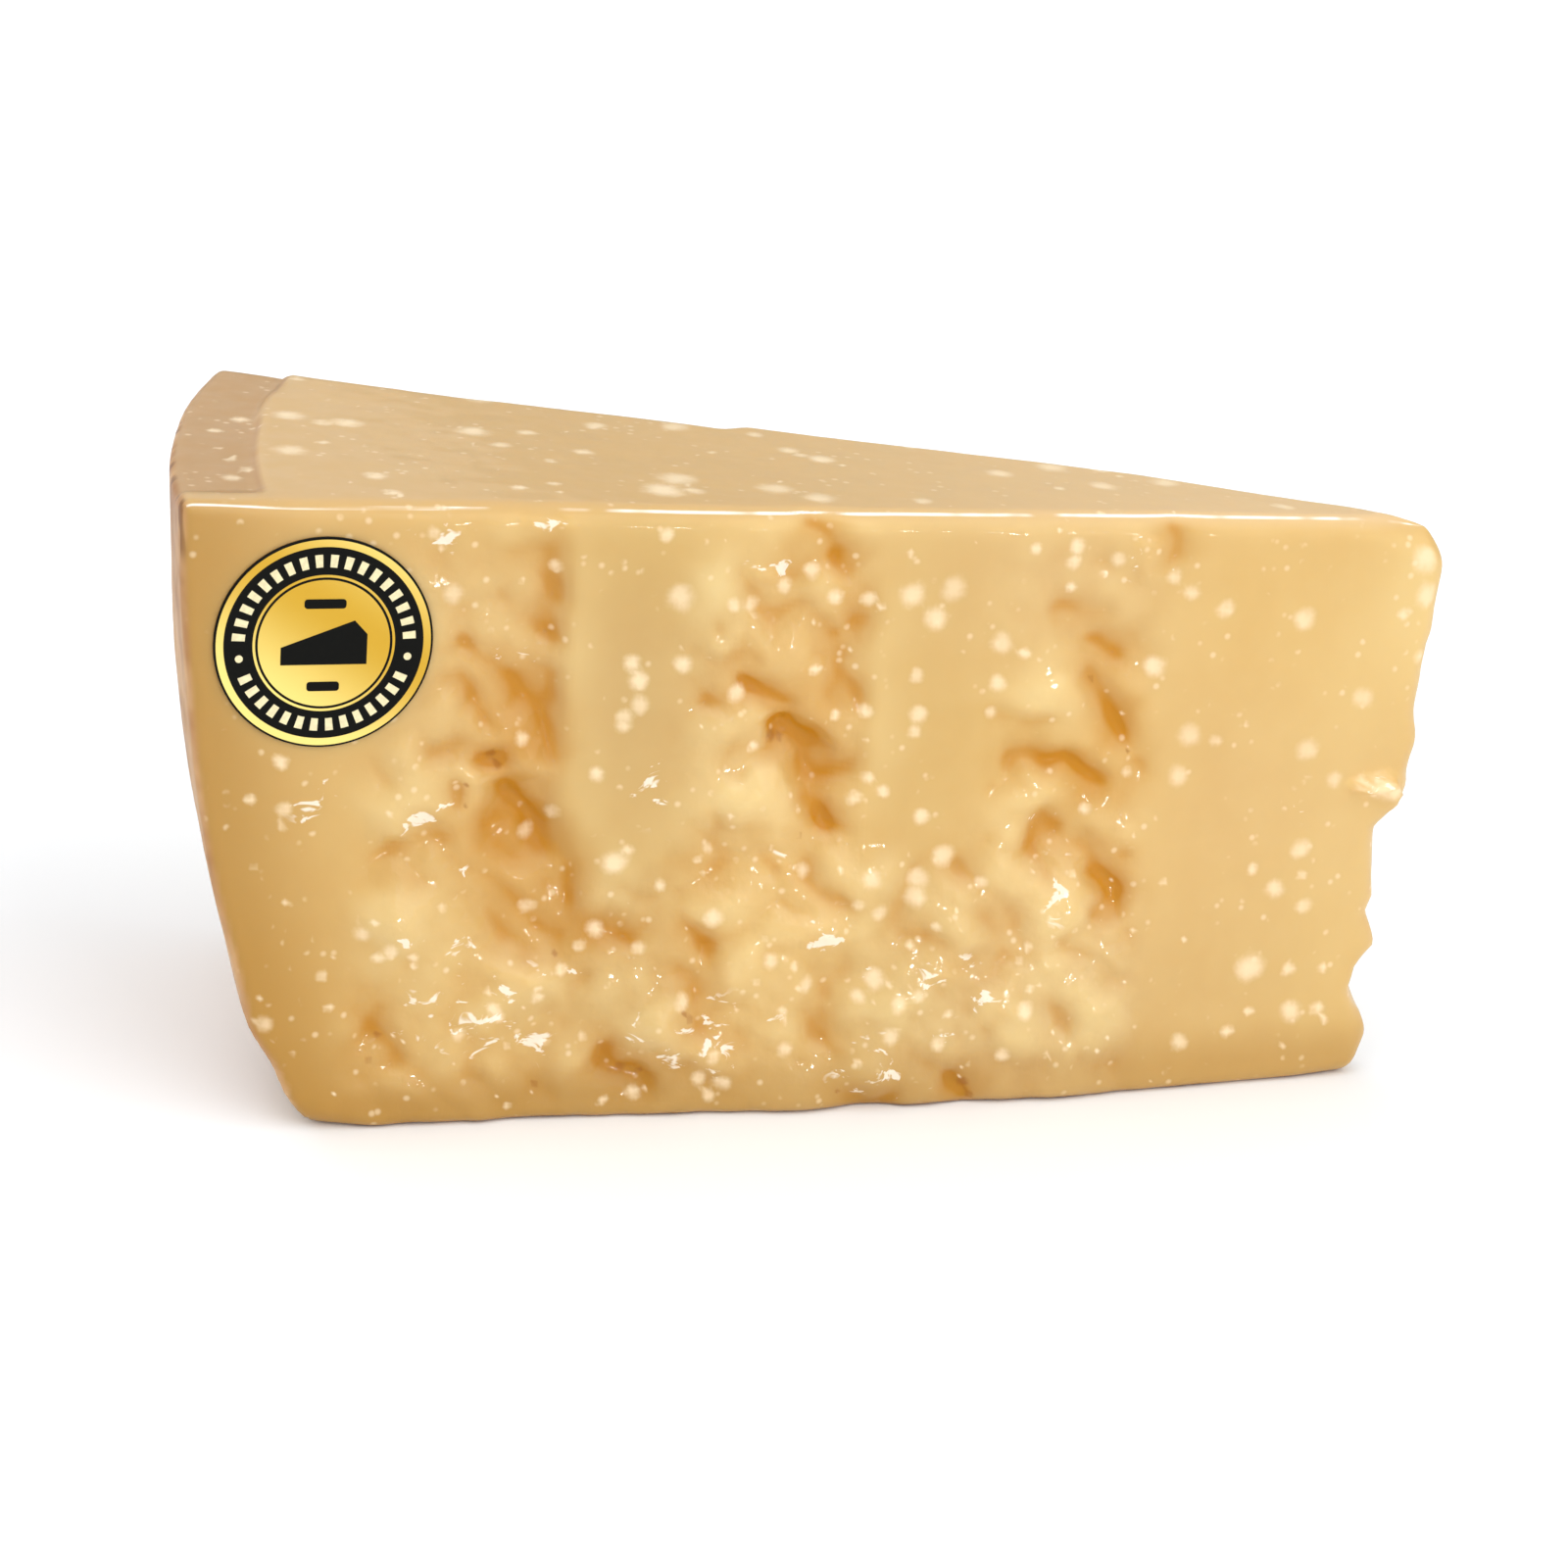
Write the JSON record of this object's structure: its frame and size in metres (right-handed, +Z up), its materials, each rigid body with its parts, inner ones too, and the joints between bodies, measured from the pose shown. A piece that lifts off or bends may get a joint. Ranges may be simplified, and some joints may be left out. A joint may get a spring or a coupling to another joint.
{
  "type": "hard cheese wedge",
  "caption": "Wedge-shaped chunk of aged hard cheese with split, craggy sides, a smooth top cut, a curved rind end, a blunt nose and a round label.",
  "frame": {"origin": "middle of the bounding box, at the level of the flat base", "axes": "+X from the rind end to the blunt nose along the wedge's middle line, +Z up, the labelled side towards -Y"},
  "size_m": [0.2096, 0.086, 0.1048],
  "materials": {
    "cheese": "satin, slightly oily, straw yellow with pale crystals",
    "label_foil": "glossy printed foil, gold and black"
  },
  "bodies": {
    "root": {"wedge": "cheese", "label": "label_foil"}
  },
  "joints": []
}
